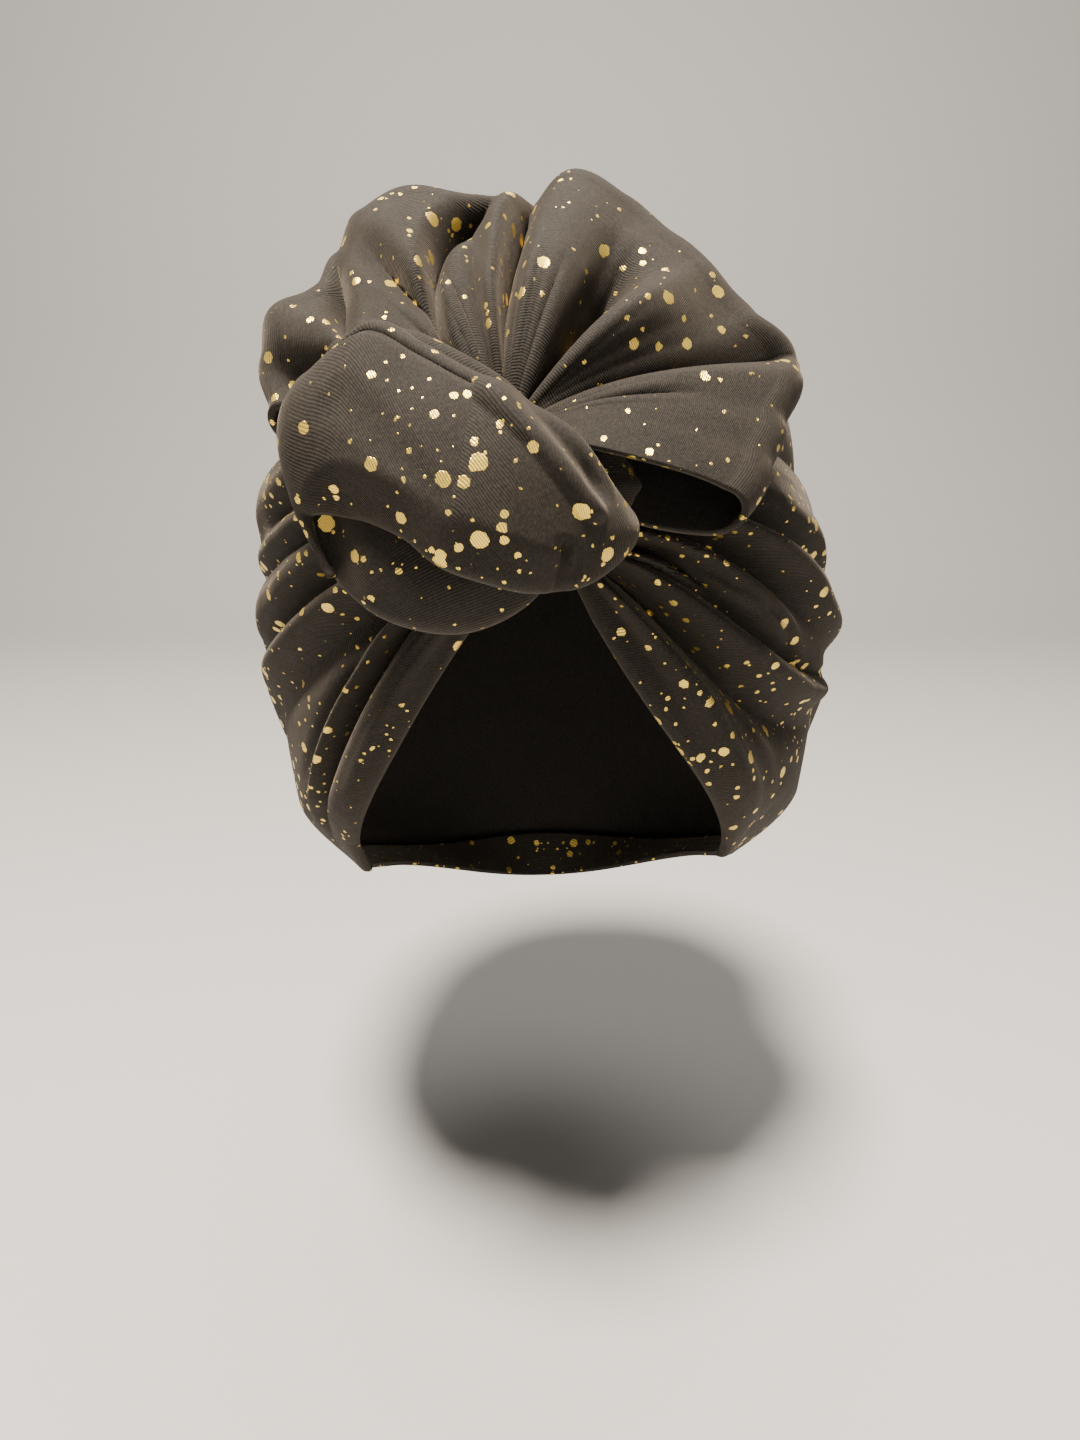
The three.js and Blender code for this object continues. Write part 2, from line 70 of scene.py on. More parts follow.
def ease(x: np.ndarray) -> np.ndarray:
    """A smooth step from 0 to 1 as x goes from 0 to 1."""
    c = np.clip(x, 0.0, 1.0)
    return c * c * (3.0 - 2.0 * c)


def hill(x: np.ndarray) -> np.ndarray:
    """A rounded hill of height 1, which is 0 from one width away."""
    return np.where(np.abs(x) < 1.0, (1.0 - np.minimum(np.abs(x), 1.0) ** 2) ** 2, 0.0)


def valley(x: np.ndarray) -> np.ndarray:
    """A narrow crease of depth 1 with rounded shoulders, which is 0 from one width away."""
    return np.where(np.abs(x) < 1.0, (1.0 - np.minimum(np.abs(x), 1.0) ** CREASE_POWER) ** 2, 0.0)


def unit(v: np.ndarray) -> np.ndarray:
    """The same directions with length 1."""
    return v / np.maximum(np.linalg.norm(v, axis=-1, keepdims=True), 1e-9)


def lengths_along(points: np.ndarray, axis: int) -> np.ndarray:
    """The distance covered along one direction of a grid.

    Args:
        points: rows x columns x 3.
        axis: 0 to go down the rows, 1 to go along the columns.

    Returns:
        The distance from the first row or column, rows x columns.
    """
    steps = np.linalg.norm(np.diff(points, axis=axis), axis=-1)
    start = np.zeros_like(points[..., 0].take([0], axis=axis))
    return np.concatenate([start, np.cumsum(steps, axis=axis)], axis=axis)


def eased(known: np.ndarray, values: np.ndarray, x: np.ndarray) -> np.ndarray:
    """A value that is known at some places, eased from each one to the next.

    Args:
        known: the places, from low to high.
        values: the value at each of them.
        x: where it is wanted.

    Returns:
        The value there.
    """
    k = np.clip(np.searchsorted(known, x, side="right") - 1, 0, len(known) - 2)
    return values[k] + (values[k + 1] - values[k]) * ease((x - known[k]) / (known[k + 1] - known[k]))


def curl(distance: np.ndarray, lip: float) -> np.ndarray:
    """How far a rolled edge sinks at a distance from its end."""
    gap = lip - np.clip(distance, 0, lip)
    return lip - np.sqrt(lip ** 2 - gap ** 2)


def mesh_of(shape: bmesh.types.BMesh, name: str) -> bpy.types.Mesh:
    """Turns a finished shape into a smoothly shaded mesh.

    Args:
        shape: the shape, which is freed.
        name: the mesh's name.

    Returns:
        The mesh.
    """
    mesh = bpy.data.meshes.new(name)
    shape.to_mesh(mesh)
    shape.free()
    mesh.shade_smooth()
    return mesh


def put(name: str, data: bpy.types.ID) -> bpy.types.Object:
    """Puts a new object into the scene.

    Args:
        name: its name.
        data: its mesh, lamp or camera.

    Returns:
        The object.
    """
    made = bpy.data.objects.new(name, data)
    bpy.context.collection.objects.link(made)
    return made


@dataclass(frozen=True)
class DotLayer:
    """One size range of foil dots, scattered at one spacing, in millimetres."""

    spacing: float
    biggest: float
    smallest: float
    share: float
    clustered: float


@dataclass(frozen=True)
class ClothFinish:
    """Dense ribbed knit, plain or printed with foil dots.

    Reliefs and pitches are in millimetres, and scales are in cycles for each millimetre.
    """

    name: str
    color: Color
    rib_pitch: float = 0.56
    rib_angle: float = 90.0
    rib_relief: float = 0.07
    # rib_shade: how much darker the rib grooves are painted, as painted shade of the knit's relief.
    rib_shade: float = 0.3
    fuzz_scale: float = 1.6
    fuzz_relief: float = 0.05
    fuzz_range: Range = (0.35, 0.72)
    fuzz_shade: Range = (0.62, 1.6)
    wave_scale: float = 0.12
    wave_relief: float = 0.5
    roughness: float = 0.82
    gloss: float = 0.25
    sheen: float = 0.12
    sheen_roughness: float = 0.45
    # The sheen's tint is partly the fibres' own tone and partly warmed as painted warm bounce light.
    sheen_tint: Color = (0.86, 0.72, 0.57)
    dots: tuple[DotLayer, ...] = ()
    dot_edge: Range = (-0.05, 0.07)
    wobble: float = 0.7
    wobble_scale: float = 1.1
    crowd_scale: float = 0.045
    crowd_range: Range = (0.40, 0.62)
    groove: Range = (0.30, 0.02)
    groove_wear: float = 0.75
    foil: Color = (1.0, 0.71, 0.13)
    foil_metal: float = 0.74
    foil_roughness: float = 0.33
    foil_relief: float = 0.04
    foil_rib_relief: float = 0.05
    crumple_scale: float = 0.8
    crumple_relief: float = 0.12

    def material(self) -> bpy.types.Material:
        """Builds the finish as nodes.

        Returns:
            The material, or the one that was already made under this name.
        """
        known = bpy.data.materials.get(self.name)
        if known is not None:
            return known
        made = bpy.data.materials.new(self.name)
        made.use_nodes = True
        board = NodeBoard(made.node_tree)
        rib = self._rib(board)
        cloth = self._cloth(board, rib)
        output = board.add("ShaderNodeOutputMaterial")
        if not self.dots:
            board.link(cloth.outputs[0], output.inputs["Surface"])
            return made
        mask = self._mask(board)
        wear = board.ramp(rib, self.groove, (0.0, self.groove_wear))
        mix = board.add("ShaderNodeMixShader")
        board.link(board.value("MULTIPLY", mask, board.value("SUBTRACT", 1.0, wear)), mix.inputs[0])
        board.link(cloth.outputs[0], mix.inputs[1])
        board.link(self._foil(board, rib, mask).outputs[0], mix.inputs[2])
        board.link(mix.outputs[0], output.inputs["Surface"])
        return made

    def _rib(self, board: "NodeBoard") -> Socket:
        """The knit's fine ribs.

        Args:
            board: the material's nodes.

        Returns:
            A value from 0 in a groove to 1 on a rib.
        """
        angle = math.radians(self.rib_angle)
        across = board.add("ShaderNodeVectorMath", operation="DOT_PRODUCT")
        board.link(board.add("ShaderNodeUVMap", uv_map="cloth").outputs[0], across.inputs[0])
        turn = math.tau / self.rib_pitch
        across.inputs[1].default_value = (math.cos(angle) * turn, math.sin(angle) * turn, 0.0)
        wave = board.value("SINE", across.outputs["Value"])
        return board.value("MULTIPLY_ADD", wave, 0.5, 0.5)

    def _mask(self, board: "NodeBoard") -> Socket:
        """Where the foil is: in each cell of a layer a dot, if the cell's chance is high enough.

        Args:
            board: the material's nodes.

        Returns:
            A value from 0 on bare cloth to 1 on foil.
        """
        wobble = board.noise(board.place(), self.wobble_scale, 1.0)
        moved = board.add("ShaderNodeVectorMath", operation="MULTIPLY_ADD")
        board.link(wobble.outputs["Color"], moved.inputs[0])
        moved.inputs[1].default_value = (self.wobble,) * 3
        board.link(board.place(), moved.inputs[2])
        crowd = board.noise(board.place(), self.crowd_scale, 2.0).outputs["Fac"]
        mask: Socket | None = None
        for layer in self.dots:
            dots = board.add("ShaderNodeTexVoronoi", voronoi_dimensions="3D", feature="F1")
            board.link(moved.outputs[0], dots.inputs["Vector"])
            dots.inputs["Scale"].default_value = 1.0 / layer.spacing
            dots.inputs["Randomness"].default_value = 1.0
            chance = board.add("ShaderNodeSeparateColor")
            board.link(dots.outputs["Color"], chance.inputs[0])
            sparse = 1.0 - layer.share * (1 - layer.clustered)
            sieve = board.ramp(crowd, self.crowd_range, (sparse, 1.0 - layer.share))
            over = board.value("SUBTRACT", chance.outputs[0], sieve)
            size = board.ramp(over, (0.0, layer.share), (layer.smallest, layer.biggest))
            present = board.value("GREATER_THAN", over, 0.0)
            distance = board.value("MULTIPLY", dots.outputs["Distance"], layer.spacing)
            inside = board.ramp(board.value("SUBTRACT", size, distance), self.dot_edge, (0.0, 1.0))
            layer_mask = board.value("MULTIPLY", inside, present)
            mask = layer_mask if mask is None else board.value("MAXIMUM", mask, layer_mask)
        return mask

    def _cloth(self, board: "NodeBoard", rib: Socket) -> bpy.types.Node:
        """The knit itself, with its rib grooves painted darker as painted shade.

        Args:
            board: the material's nodes.
            rib: the ribs, from 0 to 1.

        Returns:
            The shader.
        """
        fuzz = board.noise(board.place(), self.fuzz_scale, 3.0).outputs["Fac"]
        # The rib grooves are painted darker here as painted shade, then multiplied by a random tone from
        # the fuzz.
        bright = board.value("MULTIPLY_ADD", rib, self.rib_shade, 1.0 - self.rib_shade)
        shade = board.value("MULTIPLY", bright, board.ramp(fuzz, self.fuzz_range, self.fuzz_shade))
        tint = board.add("ShaderNodeVectorMath", operation="SCALE")
        tint.inputs[0].default_value = self.color
        board.link(shade, tint.inputs["Scale"])
        cloth = board.add("ShaderNodeBsdfPrincipled")
        board.link(tint.outputs[0], cloth.inputs["Base Color"])
        cloth.inputs["Roughness"].default_value = self.roughness
        cloth.inputs["Specular IOR Level"].default_value = self.gloss
        cloth.inputs["Sheen Weight"].default_value = self.sheen
        cloth.inputs["Sheen Roughness"].default_value = self.sheen_roughness
        cloth.inputs["Sheen Tint"].default_value = (*self.sheen_tint, 1.0)
        soft = board.noise(board.place(), self.wave_scale, 3.0).outputs["Fac"]
        waves = board.bump(soft, self.wave_relief * MM, None)
        fibres = board.bump(fuzz, self.fuzz_relief * MM, waves)
        board.link(board.bump(rib, self.rib_relief * MM, fibres), cloth.inputs["Normal"])
        return cloth

    def _foil(self, board: "NodeBoard", rib: Socket, mask: Socket) -> bpy.types.Node:
        """The foil of the dots.

        Args:
            board: the material's nodes.
            rib: the ribs, from 0 to 1.
            mask: where the foil is, from 0 to 1.

        Returns:
            The shader.
        """
        foil = board.add("ShaderNodeBsdfPrincipled")
        foil.inputs["Base Color"].default_value = (*self.foil, 1.0)
        foil.inputs["Metallic"].default_value = self.foil_metal
        foil.inputs["Roughness"].default_value = self.foil_roughness
        creased = board.noise(board.place(), self.crumple_scale, 2.0).outputs["Fac"]
        crumple = board.bump(creased, self.crumple_relief * MM, None)
        edge = board.bump(mask, self.foil_relief * MM, crumple)
        board.link(board.bump(rib, self.foil_rib_relief * MM, edge), foil.inputs["Normal"])
        return foil


class NodeBoard:
    """Short ways to add and link the nodes of one material."""

    def __init__(self, tree: bpy.types.NodeTree) -> None:
        """Takes over an empty board.

        Args:
            tree: the material's nodes.
        """
        tree.nodes.clear()
        self.tree = tree
        self._place: Socket | None = None

    def add(self, kind: str, **settings: object) -> bpy.types.Node:
        """Adds a node.

        Args:
            kind: the node's type.
            settings: its properties.

        Returns:
            The node.
        """
        node = self.tree.nodes.new(kind)
        for name, value in settings.items():
            setattr(node, name, value)
        return node

    def link(self, start: Socket, end: Socket) -> None:
        """Links two sockets."""
        self.tree.links.new(start, end)

    def place(self) -> Socket:
        """The place on the object.

        Returns:
            Its vector in millimetres, from nodes that are made once.
        """
        if self._place is None:
            scale = self.add("ShaderNodeVectorMath", operation="SCALE")
            self.link(self.add("ShaderNodeTexCoord").outputs["Object"], scale.inputs[0])
            scale.inputs["Scale"].default_value = 1.0 / MM
            self._place = scale.outputs[0]
        return self._place

    def noise(self, vector: Socket, scale: float, detail: float) -> bpy.types.Node:
        """Adds a noise texture.

        Args:
            vector: where it is read.
            scale: its cycles for each unit of the vector.
            detail: how many finer layers it has.

        Returns:
            The node.
        """
        node = self.add("ShaderNodeTexNoise")
        self.link(vector, node.inputs["Vector"])
        node.inputs["Scale"].default_value = scale
        node.inputs["Detail"].default_value = detail
        return node

    def value(self, operation: str, *inputs: Socket | float) -> Socket:
        """Adds a sum of one to three values.

        Args:
            operation: the name of the sum.
            inputs: sockets or numbers.

        Returns:
            The result's socket.
        """
        node = self.add("ShaderNodeMath", operation=operation)
        for k, item in enumerate(inputs):
            if isinstance(item, (int, float)):
                node.inputs[k].default_value = item
            else:
                self.link(item, node.inputs[k])
        return node.outputs[0]

    def ramp(self, source: Socket, given: Range, wanted: Range) -> Socket:
        """Takes one range of values to another, and holds what lies outside it at its ends.

        Args:
            source: the value.
            given: where its range starts and ends.
            wanted: what these two become.

        Returns:
            The result's socket.
        """
        node = self.add("ShaderNodeMapRange", clamp=True)
        self.link(source, node.inputs["Value"])
        names = ("From Min", "From Max", "To Min", "To Max")
        for name, value in zip(names, (*given, *wanted)):
            node.inputs[name].default_value = value
        return node.outputs["Result"]

    def bump(self, height: Socket, distance: float, below: Socket | None) -> Socket:
        """Adds a relief.

        Args:
            height: its shape, from 0 to 1.
            distance: how high 1 is, in metres.
            below: the relief that it lies on.

        Returns:
            The normal's socket.
        """
        node = self.add("ShaderNodeBump")
        self.link(height, node.inputs["Height"])
        node.inputs["Distance"].default_value = distance
        if below is not None:
            self.link(below, node.inputs["Normal"])
        return node.outputs[0]


# The knit's own near-black, warmed a little as painted warm light bounced from the surroundings.
CHARCOAL_WITH_PAINTED_WARM_BOUNCE = (0.0157, 0.0122, 0.0083)
LINING_BLACK = (0.016, 0.014, 0.012)
PRINT = (
    DotLayer(spacing=6.6, biggest=1.9, smallest=0.9, share=0.75, clustered=0.3),
    DotLayer(spacing=4.2, biggest=1.1, smallest=0.45, share=0.85, clustered=0.6),
    DotLayer(spacing=2.8, biggest=0.55, smallest=0.22, share=0.8, clustered=0.7),
)
PRINTED = ClothFinish("foil_print", CHARCOAL_WITH_PAINTED_WARM_BOUNCE, dots=PRINT)
PRINTED_ON_BIAS = replace(PRINTED, name="foil_print_bias", rib_angle=48.0)
PLAIN = ClothFinish("plain_inside", LINING_BLACK, rib_angle=0.0, sheen=0.1)


def write_flat(mesh: bpy.types.Mesh, flat: np.ndarray) -> None:
    """Writes each corner's place on the flat cloth into the map that the ribs follow.

    Args:
        mesh: the mesh.
        flat: the place of each vertex in millimetres, count x 2.
    """
    layer = mesh.uv_layers.new(name="cloth")
    corners = np.empty(len(mesh.loops), dtype=np.int32)
    mesh.loops.foreach_get("vertex_index", corners)
    layer.uv.foreach_set("vector", flat[corners].astype(np.float32).ravel())


def face_out(mesh: bpy.types.Mesh, towards: np.ndarray) -> None:
    """Turns all the faces over if most of them look at the point behind them.

    Args:
        mesh: the mesh.
        towards: the point that the backs should look at.
    """
    mesh.update()
    count = len(mesh.polygons)
    normals, centres = np.empty(count * 3), np.empty(count * 3)
    mesh.polygons.foreach_get("normal", normals)
    mesh.polygons.foreach_get("center", centres)
    if (normals * (centres - np.tile(towards, count))).sum() < 0:
        mesh.flip_normals()


@dataclass(frozen=True)
class ClothGrid:
    """The face of a sheet of cloth as a grid, in millimetres."""

    points: np.ndarray
    flat: np.ndarray

    def build(self, name: str, finishes: list[ClothFinish], offset: float,
              towards: np.ndarray) -> bpy.types.Object:
        """Makes the sheet with its thickness.

        Args:
            name: the piece's name.
            finishes: the face's finish and the back's.
            offset: -1 to thicken it behind its face, 0 to both sides.
            towards: a point that the back looks at.

        Returns:
            The piece.
        """
        rows, columns = self.points.shape[:2]
        grid = bmesh.new()
        bmesh.ops.create_grid(grid, x_segments=columns - 1, y_segments=rows - 1, size=1.0)
        mesh = mesh_of(grid, name)
        start = np.empty(len(mesh.vertices) * 3)
        mesh.vertices.foreach_get("co", start)
        start = start.reshape(-1, 3)
        j = np.rint((start[:, 0] + 1) / 2 * (columns - 1)).astype(int)
        i = np.rint((start[:, 1] + 1) / 2 * (rows - 1)).astype(int)
        mesh.vertices.foreach_set("co", (self.points[i, j] * MM).ravel())
        write_flat(mesh, self.flat[i, j])
        face_out(mesh, np.asarray(towards) * MM)
        piece = put(name, mesh)
        for finish in finishes:
            mesh.materials.append(finish.material())
        thick = piece.modifiers.new("cloth thickness", "SOLIDIFY")
        thick.thickness = CLOTH_WALL * MM
        thick.offset = offset
        thick.use_even_offset = False
        thick.material_offset = len(finishes) - 1
        thick.material_offset_rim = 0
        LOG.info("%s: %d x %d grid, %.4f square metres", name, rows, columns, self.area())
        return piece

    def area(self) -> float:
        """The face's area.

        Returns:
            Square metres.
        """
        p = self.points * MM
        cross = np.cross(p[1:, 1:] - p[:-1, :-1], p[1:, :-1] - p[:-1, 1:])
        return float(np.linalg.norm(cross, axis=-1).sum() / 2)


@dataclass(frozen=True)
class Wrinkles:
    """How many fine wrinkles are drawn, and the range that each of their sizes has."""

    seed: int
    count: int
    place: Range
    bend: Range
    height: Range
    width: Range
    start: Range
    end: Range


@dataclass(frozen=True)
class FoldLine:
    """A line that runs out over the crown, with its angles about the knot.

    They are its angles close to the knot, half way and far from it, at PLACES.
    """

    near: float
    mid: float
    far: float

    def angle(self, t: np.ndarray) -> np.ndarray:
        """The line's angle about the knot: a curve through its three places.

        Args:
            t: the angle from the knot.

        Returns:
            The angle about the knot.
        """
        near_t, mid_t, far_t = PLACES
        c = np.clip(t, *CURVED)
        a = (c - mid_t) * (c - far_t) / ((near_t - mid_t) * (near_t - far_t))
        b = (c - near_t) * (c - far_t) / ((mid_t - near_t) * (mid_t - far_t))
        d = (c - near_t) * (c - mid_t) / ((far_t - near_t) * (far_t - mid_t))
        return self.near * a + self.mid * b + self.far * d


@dataclass(frozen=True)
class Fold(FoldLine):
    """A fold of the crown along a line.

    Height is a share of FOLD_HEIGHT, negative for a crease. Width, start and end are angles.
    """

    height: float
    width: float
    start: float
    end: float

    def lift(self, angle: np.ndarray, t: np.ndarray, from_t: float) -> np.ndarray:
        """How far this fold lifts the cloth.

        Args:
            angle: the angle about the knot.
            t: the angle from the knot.
            from_t: the angle from the knot at which the cloth begins.

        Returns:
            A share of FOLD_HEIGHT.
        """
        strength = ease((t - from_t) / self.start) * ease((self.end - t) / (self.end / 2))
        away = (angle - self.angle(t)) / (FOLD_SPREAD * self.width)
        shape = hill(away) if self.height > 0 or self.width > BROAD_FOLD else valley(away)
        return self.height * strength * shape


PLACES = (10.0, 25.0, 42.0)
CURVED = (7.0, 50.0)
FOLD_HEIGHT = 7.5
FOLD_SPREAD = 1.6
BROAD_FOLD = 10.0
CROWN_FOLDS = (
    Fold(-45, -44, -42, 0.45, 8, 10, 95),
    Fold(-54, -54, -52, -0.35, 4, 10, 80),
    Fold(-61, -62, -58, 0.5, 4.5, 8, 85),
    Fold(-66, -67, -62.5, -0.5, 2.6, 8, 70),
    Fold(-71, -70.5, -64.5, 0.55, 3, 8, 80),
    Fold(-75, -74, -67.5, -0.55, 2.8, 8, 65),
    Fold(-79, -78, -73, 0.65, 4.5, 8, 80),
    Fold(-85, -84, -78, -1.1, 2.3, 7, 62),
    Fold(-89, -87.5, -82, 0.75, 4.5, 8, 75),
    Fold(-100, -95, -87, -0.45, 5, 8, 60),
    Fold(-99, -103, -105, -0.4, 3, 12, 60),
    Fold(-100, -106.4, -109, 0.65, 2.6, 9, 62),
    Fold(-103, -109.8, -112, -0.85, 2.2, 9, 64),
    Fold(-112, -117, -118.5, 0.5, 5.5, 9, 64),
    Fold(42, 43, 42, 0.4, 8, 10, 95),
    Fold(52, 53, 53, -0.35, 4, 10, 80),
    Fold(46, 50, 54, -1.0, 18, 14, 85),
    Fold(60, 61, 61, 0.5, 5, 7, 85),
    Fold(66, 68, 66, 0.5, 3, 10, 70),
    Fold(71, 73, 69, -0.55, 2.8, 9, 55),
    Fold(75.5, 78, 73, 0.85, 4, 5, 80),
    Fold(78, 83.5, 77, -0.85, 4.5, 4, 50),
    Fold(85, 89, 89, 0.8, 2.6, 2.5, 25),
    Fold(92, 90.5, 60, -1.1, 1.7, 2.5, 27),
    Fold(92, 87, 77, 0.6, 4, 20, 70),
    Fold(95, 92, 84, 0.5, 2, 4, 40),
    Fold(96.5, 94, 84, -0.8, 2, 4, 60),
    Fold(99, 94.5, 85, -0.5, 3.5, 18, 52),
    Fold(98.5, 96.5, 86, 0.75, 4, 4, 75),
    Fold(111, 108, 96, -1.05, 4.5, 3, 52),
    Fold(118, 118.5, 118, 0.5, 5, 4, 60),
    Fold(-22, -22, -21, 0.35, 8, 10, 90),
    Fold(21, 22, 21, 0.35, 8, 10, 90),
)
LEFT_EDGE = FoldLine(-125.5, -125.5, -123.3)
RIGHT_EDGE = FoldLine(139, 131, 125)


@dataclass(frozen=True)
class CapForm:
    """The crown's smooth form: a squarish ellipsoid, longer below its widest level."""

    width: float = 168.0
    length: float = 184.0
    rise: float = 90.0
    taper: float = 185.0
    roundness: float = 2.2
    inner_top: float = 1.8
    hub_drop: float = 180.0
    gather_drop: float = 70.0
    halvings: int = 32

    def measure(self, p: np.ndarray) -> np.ndarray:
        """How far out points lie: below 1 inside the form and above 1 outside."""
        z = p[..., 2] - (self.inner_top - self.rise)
        return (np.abs(2 * p[..., 0] / self.width) ** self.roundness
                + np.abs(2 * p[..., 1] / self.length) ** self.roundness
                + np.abs(z / np.where(z > 0, self.rise, self.taper)) ** self.roundness)

    def ray(self, start: np.ndarray, direction: np.ndarray) -> np.ndarray:
        """Where rays from a point inside leave the form.

        Args:
            start: the point.
            direction: the rays' directions.

        Returns:
            The points on the form.
        """
        near = np.zeros(direction.shape[:-1])
        far = np.full(direction.shape[:-1], 2 * self.taper)
        for _ in range(self.halvings):
            middle = (near + far) / 2
            inside = self.measure(start + direction * middle[..., None]) < 1
            near = np.where(inside, middle, near)
            far = np.where(inside, far, middle)
        return start + direction * near[..., None]

    def normal(self, p: np.ndarray) -> np.ndarray:
        """The direction straight out of the form.

        Args:
            p: points on it.

        Returns:
            A direction for each point.
        """
        step = 0.01
        slope = [self.measure(p + step * axis) - self.measure(p - step * axis) for axis in np.eye(3)]
        return unit(np.stack(slope, axis=-1))

    @property
    def hub(self) -> np.ndarray:
        """The point inside from which the folds' angles are counted."""
        return np.array([0.0, 0.0, -self.hub_drop])

    @property
    def gather(self) -> np.ndarray:
        """The point in front where all the cloth comes together."""
        return self.ray(np.array([0.0, 0.0, -self.gather_drop]), np.array([0.0, -1.0, 0.0]))

    def point(self, angle: np.ndarray, t: np.ndarray) -> np.ndarray:
        """Points of the form.

        Args:
            angle: their angle about the knot, 0 at the top and 90 at the viewer's right.
            t: their angle from the knot.

        Returns:
            The points.
        """
        to_gather = unit(self.gather - self.hub)
        to_top = np.cross(to_gather, SIDE)
        a, b = np.radians(angle)[..., None], np.radians(t)[..., None]
        spoke = to_top * np.cos(a) + SIDE * np.sin(a)
        return self.ray(self.hub, to_gather * np.cos(b) + spoke * np.sin(b))


@dataclass(frozen=True)
class Crown:
    """The gathered cap and its hem: a smooth form with folds."""

    form: CapForm = CapForm()
    folds: tuple[Fold, ...] = CROWN_FOLDS
    wrinkles: Wrinkles = Wrinkles(seed=11, count=26, place=(44, 118), bend=(-4, 4), height=(0.05, 0.13),
                                  width=(1.0, 2.2), start=(3, 10), end=(26, 62))
    gather_angle: float = 4.0
    nape_drop: float = 223.0
    hem_slope: float = 0.37
    hem_search: Range = (20.0, 175.0)
    halvings: int = 24
    left_corner_rise: float = 1.0
    right_corner_rise: float = 3.0
    corner_angle: float = 20.0
    corner_tuck: float = 19.0
    corner_tuck_height: float = 58.0
    corner_tuck_middle: float = 38.0
    corner_tuck_spread: float = 75.0
    corner_tuck_bend: float = 1.7
    lip: float = 2.6
    rows: int = 150
    columns: int = 300
    side_crowding: float = 0.55
    hem_crowding: float = 1.25
    strip_height: float = 18.0
    strip_gap: float = 0.5
    strip_rows: int = 24
    strip_columns: int = 160
    strip_crowding: float = 0.5
    strip_margin: int = 3
    rib_rise: float = 0.8
    rib_lean: float = 0.6

    def all_folds(self) -> tuple[Fold, ...]:
        """The main folds and the fine wrinkles that run out from the knot.

        Returns:
            The folds.
        """
        drawn = self.wrinkles
        rng = np.random.default_rng(drawn.seed)
        fine = []
        for side in (-1, 1):
            for _ in range(drawn.count):
                near = side * rng.uniform(*drawn.place)
                bend = rng.uniform(*drawn.bend)
                height = rng.uniform(*drawn.height) * rng.choice([-1, 1])
                width = rng.uniform(*drawn.width)
                start, end = rng.uniform(*drawn.start), rng.uniform(*drawn.end)
                fine.append(Fold(near, near + bend, near + 2 * bend, height, width, start, end))
        return self.folds + tuple(fine)

    def hem_level(self, angle: np.ndarray, y: np.ndarray) -> np.ndarray:
        """The hem's height, in a plane that rises towards the face, rounded at both corners.

        Args:
            angle: the angle about the knot.
            y: the place from front to back.

        Returns:
            The height.
        """
        below = self.form.ray(np.array([0.0, 0.0, -self.nape_drop]), np.array([0.0, 1.0, 0.0]))
        left = self.left_corner_rise * (1 - ease((angle - LEFT_EDGE.far) / self.corner_angle)) ** 2
        right = self.right_corner_rise * (1 - ease((RIGHT_EDGE.far - angle) / self.corner_angle)) ** 2
        return self.hem_slope * (below[1] - y) - self.nape_drop + left + right

    def hem_angle(self, angle: np.ndarray) -> np.ndarray:
        """Where the cloth ends at the hem.

        Args:
            angle: the angle about the knot.

        Returns:
            The angle from the knot.
        """
        above, below = (np.full(angle.shape, end) for end in self.hem_search)
        for _ in range(self.halvings):
            middle = (above + below) / 2
            p = self.form.point(angle, middle)
            over = p[..., 2] > self.hem_level(angle, p[..., 1])
            above, below = np.where(over, middle, above), np.where(over, below, middle)
        return above

    def skin(self, angle: np.ndarray, t: np.ndarray, end: np.ndarray, depth: np.ndarray) -> np.ndarray:
        """The cloth's face, moved in by a depth.

        Args:
            angle: the angle about the knot.
            t: the angle from the knot.
            end: the angle from the knot at which the cloth ends.
            depth: how far the face is moved in.

        Returns:
            The points.
        """
        p = self.form.point(angle, t)
        lift = sum(fold.lift(angle, t, self.gather_angle) for fold in self.all_folds()) * FOLD_HEIGHT
        height = np.radians(end - t) * np.linalg.norm(p - self.form.hub, axis=-1)
        from_edge = np.minimum(angle - LEFT_EDGE.far, RIGHT_EDGE.far - angle)
        away = np.abs(from_edge - self.corner_tuck_middle)
        tuck = (self.corner_tuck * (1 - ease(away / self.corner_tuck_spread))
                * np.maximum(0.0, 1 - height / self.corner_tuck_height) ** self.corner_tuck_bend)
        return p + self.form.normal(p) * (lift - tuck - depth)[..., None]

    @staticmethod
    def shares(count: int, crowding: float) -> np.ndarray:
        """Shares from 0 to 1 that stand closer together at both ends."""
        u = np.linspace(0, 1, count)
        return u - crowding * np.sin(2 * np.pi * u) / (2 * np.pi)

    @staticmethod
    def between_edges(share: np.ndarray, t: np.ndarray) -> np.ndarray:
        """The angle about the knot at a share of the way between the opening's two edges."""
        left = LEFT_EDGE.angle(t)
        return left + share * (RIGHT_EDGE.angle(t) - left)

    def places(self, share: np.ndarray, reach: np.ndarray) -> tuple[np.ndarray, ...]:
        """The angles at which the cloth lies.

        Args:
            share: from 0 at the left edge of the opening to 1 at the right one.
            reach: from 0 at the knot to 1 at the hem.

        Returns:
            The angle about the knot, the angle from it and the angle of the cloth's end.
        """
        middle = LEFT_EDGE.mid + share * (RIGHT_EDGE.mid - LEFT_EDGE.mid)
        end = self.hem_angle(middle)
        t = self.gather_angle + (end - self.gather_angle) * reach
        return self.between_edges(share, t), t, end

